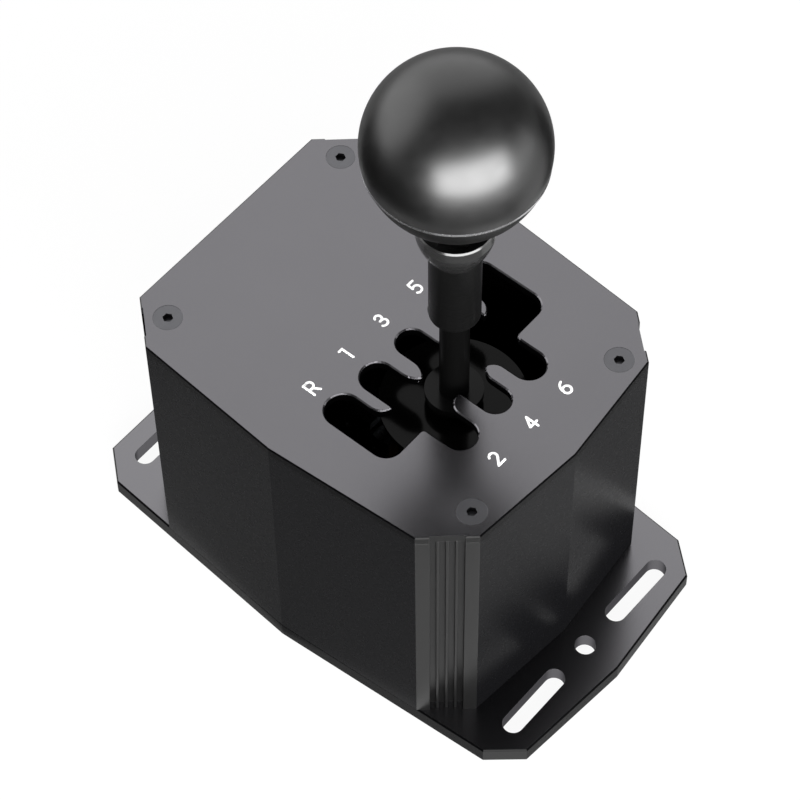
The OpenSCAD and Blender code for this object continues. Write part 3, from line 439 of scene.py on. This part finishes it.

# %% [markdown]
# ## The centring spring's legs
#
# The spring's two legs rest on a tab of the rear stand, and the crank's finger lies between
# them 2 mm higher up. When the lever goes sideways, the finger pushes a leg along, so a real leg
# bends between the tab and the finger. The CAD solid can't bend, so the same mesh gets cuts
# across its legs in that gap, where a bend would need them, and stands for it unbent.

# %% Cut the legs where they would bend
TAB_TOP, FINGER_FOOT = 51.1, 52.9  # mm, where the legs start and stop to bend
BEND_STEPS = 8
spring_cad = nodes["centring_spring"]
cut = bmesh.new()
cut.from_mesh(spring_cad.data)
cut.transform(spring_cad.matrix_world)
for k in range(BEND_STEPS + 1):
    height = TAB_TOP + (FINGER_FOOT - TAB_TOP) * k / BEND_STEPS
    bmesh.ops.bisect_plane(cut, geom=cut.verts[:] + cut.edges[:] + cut.faces[:],
                           plane_co=(0, 0, height * MM), plane_no=(0, 0, 1))
spring = add_piece("centring_spring_bending", cut, "drawn_spring_wire")
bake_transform(spring)
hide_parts("centring_spring")
print("spring faces:", len(spring.data.polygons))

# %% [markdown]
# ## Smooth shading
#
# The CAD meshes bring their own normals: round faces shade round and flat faces flat. Smooth
# shading lets the renderer use those normals.

# %% Shading
for node in nodes.values():
    smooth(node.data)
print("smooth-shaded nodes:", len(nodes))

# %% [markdown]
# ## Screen-printed gear numbers
#
# The numbers are printed on the gate plate in white ink, 5 mm high, beside the finger that each
# gear lies in. Each glyph is drawn as pen strokes along straight lines and arcs. A stroke is a
# low pad of ink, 0.75 mm wide and 0.04 mm thick with round ends, as the ink stands on the
# metal. A font would be quicker, but strokes need no font file and keep the print's even width.

# %% Print the numbers
GLYPH_HEIGHT, STROKE = 5.1, 0.75  # mm
REACH = 0.5 - STROKE / GLYPH_HEIGHT / 2  # from the glyph's middle to the outer strokes' centre


def arc(cx, cy, rx, ry, start, end, steps=16):
    """Points along part of an ellipse, from one angle in degrees to another."""
    angles = [math.radians(start + (end - start) * i / steps) for i in range(steps + 1)]
    return [(cx + rx * math.cos(a), cy + ry * math.sin(a)) for a in angles]


# The pen strokes of each glyph: points from its middle, in glyph heights.
GLYPHS = {
    "R": [[(-0.25, -REACH), (-0.25, REACH)],
          [(-0.25, REACH), (0.02, REACH)] + arc(0.02, 0.195, 0.232, 0.232, 90, -90)
          + [(-0.25, -0.037)],
          [(0.02, -0.037), (0.26, -REACH)]],
    "1": [[(-0.17, REACH), (0.08, REACH)], [(0.08, REACH), (0.08, -REACH)]],
    "2": [arc(0.0, 0.185, 0.235, 0.242, 155, -38), [(0.185, 0.036), (-0.25, -REACH)],
          [(-0.25, -REACH), (0.28, -REACH)]],
    "3": [arc(0.0, 0.215, 0.205, 0.212, 150, -90), [(0.0, 0.003), (-0.09, 0.003)],
          arc(0.0, -0.212, 0.25, 0.215, 90, -155)],
    "4": [[(0.1, -REACH), (0.1, REACH)], [(0.1, REACH), (-0.27, -0.17)],
          [(-0.27, -0.17), (0.29, -0.17)]],
    "5": [[(0.23, REACH), (-0.17, REACH)], [(-0.17, REACH), (-0.2, 0.03)],
          arc(-0.02, -0.16, 0.26, 0.267, 134, -140)],
    "6": [arc(0.0, -0.17, 0.25, 0.257, 0, 360, 24), arc(0.22, -0.11, 0.465, 0.54, 172, 98)],
}
# glyph, and its middle on the plate in mm
LABELS = (("R", -30.3, 6.2), ("1", -15.0, 6.2), ("3", 0.3, 6.2), ("5", 15.75, 6.2),
          ("2", -15.4, -49.3), ("4", 0.4, -49.3), ("6", 15.8, -49.3))
INK_RISE, INK_SINK = 0.04, 0.02  # mm above the plate's top and below it
RING = 12  # corners of a stroke's cross-section
CAP_ANGLES = (22, 45, 68, 84)  # degrees, from a stroke's side round to its tip
plate_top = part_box("top_plate")[1][2] / MM


def ink_stroke(mesh, path):
    """One closed pad of ink along a path of 2-D points in mm, with round ends."""
    half = STROKE / 2
    points = [Vector(p) for p in path]
    last = len(points) - 1
    sections = []  # middle, direction and half width of each cross-section
    for i, point in enumerate(points):
        along = (points[min(i + 1, last)] - points[max(i - 1, 0)]).normalized()
        sections.append((point, along, half))
    start, end = sections[0], sections[-1]
    caps = [(half * math.sin(a), half * math.cos(a)) for a in map(math.radians, CAP_ANGLES)]
    sections = ([(start[0] - start[1] * out, start[1], wide) for out, wide in reversed(caps)]
                + sections + [(end[0] + end[1] * out, end[1], wide) for out, wide in caps])
    rings = []
    for point, along, wide in sections:
        side = Vector((-along.y, along.x))
        ring = []
        for j in range(RING):
            a = 2 * math.pi * j / RING
            spot = point + side * wide * math.cos(a)
            rise = INK_RISE * math.sin(a) if math.sin(a) > 0 else INK_SINK * math.sin(a)
            ring.append(mesh.verts.new(Vector((spot.x, spot.y, plate_top + rise)) * MM))
        rings.append(ring)
    for one, two in zip(rings, rings[1:]):
        for j in range(RING):
            mesh.faces.new((one[j], one[(j + 1) % RING], two[(j + 1) % RING], two[j]))
    mesh.faces.new(list(reversed(rings[0])))
    mesh.faces.new(rings[-1])


grained("screen_printed_ink", {"Base Color": linear("#f6f6f6"), "Specular IOR Level": 0.3},
        grain_mm=0.3, roughness=(0.45, 0.6))
ink = bmesh.new()
for glyph, x, y in LABELS:
    for path in GLYPHS[glyph]:
        ink_stroke(ink, [(x + px * GLYPH_HEIGHT, y + py * GLYPH_HEIGHT) for px, py in path])
bmesh.ops.recalc_face_normals(ink, faces=ink.faces)
gear_numbers = add_piece("gear_numbers", ink, "screen_printed_ink")
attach(gear_numbers, "base")
print("gear numbers:", len(LABELS), "faces:", len(gear_numbers.data.polygons))

# %% [markdown]
# ## The studio's floor
#
# The shifter stands on white paper. The paper is a pale, diffuse floor that takes the shadow.
# For the camera and in reflections, most of its brightness is the paper's own white, so that the
# shadow stays faint, as in a picture for a shop.

# %% Floor
FLOOR_HALF = 3.0  # metres
PAPER_GLOW = 0.94  # the share of the paper's own white
floor = add_sheet("floor", [(-FLOOR_HALF, -FLOOR_HALF, 0), (FLOOR_HALF, -FLOOR_HALF, 0),
                            (FLOOR_HALF, FLOOR_HALF, 0), (-FLOOR_HALF, FLOOR_HALF, 0)],
                  [(0, 1, 2, 3)])
tree = new_material("white_paper")
paper = add_node(tree, "ShaderNodeBsdfDiffuse", {"Color": linear("#f2f2f2")})
glow = add_node(tree, "ShaderNodeEmission", {"Color": linear("#ffffff"), "Strength": 1.0})
ray = add_node(tree, "ShaderNodeLightPath")
seen = add_node(tree, "ShaderNodeMath", {"operation": "MAXIMUM"},
                {0: ray.outputs["Is Camera Ray"], 1: ray.outputs["Is Glossy Ray"]})
seen = add_node(tree, "ShaderNodeMath", {"operation": "MAXIMUM"},
                {0: seen.outputs["Value"], 1: ray.outputs["Is Transmission Ray"]})
share = add_node(tree, "ShaderNodeMath", {"operation": "MULTIPLY", 1: PAPER_GLOW},
                 {0: seen.outputs["Value"]})
blend = add_node(tree, "ShaderNodeMixShader", {},
                 {0: share.outputs["Value"], 1: paper.outputs["BSDF"],
                  2: glow.outputs["Emission"]})
add_node(tree, "ShaderNodeOutputMaterial", {}, {"Surface": blend.outputs["Shader"]})
floor.data.materials.append(materials["white_paper"])
print("floor laid")

# %% [markdown]
# ## The room
#
# The room above is dim, with one bright wall behind the shifter, lit in two soft spots side by
# side. It makes the grey sheen on the plates and the band along the knob's far side. The room is
# a world whose brightness depends on the direction, which has no noise. The camera sees it white.

# %% World
ROOM = 0.12
# direction, degrees to full brightness, degrees to none, brightness
BRIGHT_SPOTS = ((Vector((0.583, 0.694, 0.423)), 26, 58, 1.5),
                (Vector((-0.243, 0.908, 0.342)), 24, 48, 2.1))
world = bpy.data.worlds.new("studio")
world.use_nodes = True
scene.world = world
tree = world.node_tree
tree.nodes.clear()
place = add_node(tree, "ShaderNodeTexCoord")
spots = []
for direction, full, gone, brightness in BRIGHT_SPOTS:
    nearness = add_node(tree, "ShaderNodeVectorMath",
                        {"operation": "DOT_PRODUCT", 1: direction.normalized()},
                        {0: place.outputs["Generated"]})
    spots.append(add_node(tree, "ShaderNodeMapRange",
                          {"interpolation_type": "SMOOTHSTEP",
                           "From Min": math.cos(math.radians(gone)),
                           "From Max": math.cos(math.radians(full)),
                           "To Min": ROOM, "To Max": brightness},
                          {"Value": nearness.outputs["Value"]}))
wall = add_node(tree, "ShaderNodeMath", {"operation": "MAXIMUM"},
                {0: spots[0].outputs["Result"], 1: spots[1].outputs["Result"]})
ray = add_node(tree, "ShaderNodeLightPath")
room = add_node(tree, "ShaderNodeMath", {"operation": "MAXIMUM"},
                {0: wall.outputs["Value"], 1: ray.outputs["Is Camera Ray"]})
sky = add_node(tree, "ShaderNodeBackground", {"Color": linear("#ffffff")},
               {"Strength": room.outputs["Value"]})
add_node(tree, "ShaderNodeOutputWorld", {}, {"Surface": sky.outputs["Background"]})
print("bright spots in the room:", len(BRIGHT_SPOTS))

# %% [markdown]
# ## The key light, its flag and the fill
#
# One wide softbox stands on the floor in front of the driver's wall, to the left of the camera.
# It is what the knob shows as a soft white bar. Seen from behind, the plates would burn out
# where they mirror this box, so a flag dims it for them: the box lights all the rest, and a
# weaker twin in the same place lights the plates and the screws in them. A dim box on the right
# takes the hard end off the bar. A fill lights the far walls, which the key never reaches. It
# lights the housing alone and shows in no reflection, as a lamp behind black flags does.
#
# The key is far above a plain level, and the black finishes are written darker than they look to
# make up for it. Under a plain light they come out darker than here.

# %% Lamps
AIM = Vector((0, 0, 0.15))  # metres: the middle of the lever, which every lamp faces


def softbox(name, direction, distance, size, radiance):
    """A rectangular lamp that looks as bright as radiance says, in metres."""
    data = bpy.data.lights.new(name, "AREA")
    data.shape = "RECTANGLE"
    data.size, data.size_y = size
    data.energy = radiance * math.pi * size[0] * size[1]
    lamp = bpy.data.objects.new(name, data)
    lamp.location = AIM + Vector(direction).normalized() * distance
    lamp.rotation_euler = (AIM - lamp.location).to_track_quat("-Z", "Y").to_euler()
    scene.collection.objects.link(lamp)
    return lamp


def lights(lamp, node_names, alone):
    """Let the lamp light only these CAD nodes, or all but these."""
    lit = bpy.data.collections.new("lit_by_" + lamp.name)
    lamp.light_linking.receiver_collection = lit
    for name in node_names:
        lit.objects.link(nodes[name])
    for member in lit.collection_objects:
        member.light_linking.link_state = "INCLUDE" if alone else "EXCLUDE"


KEY = ((-0.505, -0.825, 0.185), 1.4, (2.5, 1.15))  # direction, distance and size
KEY_RADIANCE, FLAGGED_RADIANCE, RIGHT_RADIANCE, FILL_RADIANCE = 14.0, 3.5, 1.8, 16.0
FLAGGED = ("top_plate", "base_plate", "top_screws")
lights(softbox("front_softbox", *KEY, KEY_RADIANCE), FLAGGED, alone=False)
lights(softbox("flagged_softbox", *KEY, FLAGGED_RADIANCE), FLAGGED, alone=True)
softbox("right_softbox", (0.545, -0.839, 0.04), 1.4, (0.8, 0.7), RIGHT_RADIANCE)
fill = softbox("rear_fill", (0.62, 0.70, 0.35), 1.4, (2.0, 1.4), FILL_RADIANCE)
fill.visible_glossy = False
lights(fill, ("housing",), alone=True)
print("lamps:", len(bpy.data.lights))

# %% [markdown]
# ## Cloths and cards on the floor
#
# Cloths lie on the paper in a ring round the shifter, and two grey cards lie beside it. They
# keep white out of what the glossy parts show: black on both sides, grey behind and in front,
# and pale at the front right. So the knob's underside looks black and round, and the walls and
# corners stay about as dark as in the photograph. Photographers of black products lay such
# cloths for the same reason. They are seen in reflections only, so that they stay out of the
# picture itself.

# %% Cloths and cards
CLOTH_STEP = 9  # degrees
CLOTH_HEIGHT, CARD_HEIGHT = 0.001, 0.0008  # metres above the paper


def cloth_ring(start, end, inner=0.15, outer=1.8):
    """Corners and faces of a flat sector of a ring, in metres and degrees."""
    steps = round((end - start) / CLOTH_STEP)
    angles = [math.radians(start + (end - start) * k / steps) for k in range(steps + 1)]
    corners = [(r * math.cos(a), r * math.sin(a), CLOTH_HEIGHT) for a in angles
               for r in (inner, outer)]
    return corners, [(2 * k, 2 * k + 1, 2 * k + 3, 2 * k + 2) for k in range(steps)]


def card(corners):
    """Corners and face of a flat card just above the paper, in metres."""
    return [(x, y, CARD_HEIGHT) for x, y in corners], [tuple(range(len(corners)))]


LEFT_CARD = card([(-0.15, -0.16), (-0.0545, -0.10), (-0.0545, 0.16), (-0.15, 0.16)])
RIGHT_CARD = card([(0.04, -0.17), (0.16, -0.17), (0.16, -0.06), (0.056, -0.06), (0.056, -0.09)])
CLOTHS = (("pale_cloth_right", cloth_ring(-70, -34), "#a4a4a4"),
          ("black_cloth_right", cloth_ring(-34, -7), "#0a0a0a"),
          ("grey_cloth_behind", cloth_ring(-7, 92), "#8c8c8c"),
          ("black_cloth_left", cloth_ring(92, 200), "#0a0a0a"),
          ("grey_cloth_front", cloth_ring(200, 290, outer=0.4), "#606060"),
          ("grey_card_left", LEFT_CARD, "#9a9a9a"), ("grey_card_right", RIGHT_CARD, "#8a8a8a"))
for name, (corners, faces), colour in CLOTHS:
    cloth = add_sheet(name, corners, faces)
    cloth.visible_camera = cloth.visible_diffuse = cloth.visible_shadow = False
    tree = new_material(name)
    shader = add_node(tree, "ShaderNodeBsdfDiffuse", {"Color": linear(colour)})
    add_node(tree, "ShaderNodeOutputMaterial", {}, {"Surface": shader.outputs["BSDF"]})
    cloth.data.materials.append(materials[name])
scene.view_settings.view_transform = "Standard"
print("cloths and cards:", len(CLOTHS))
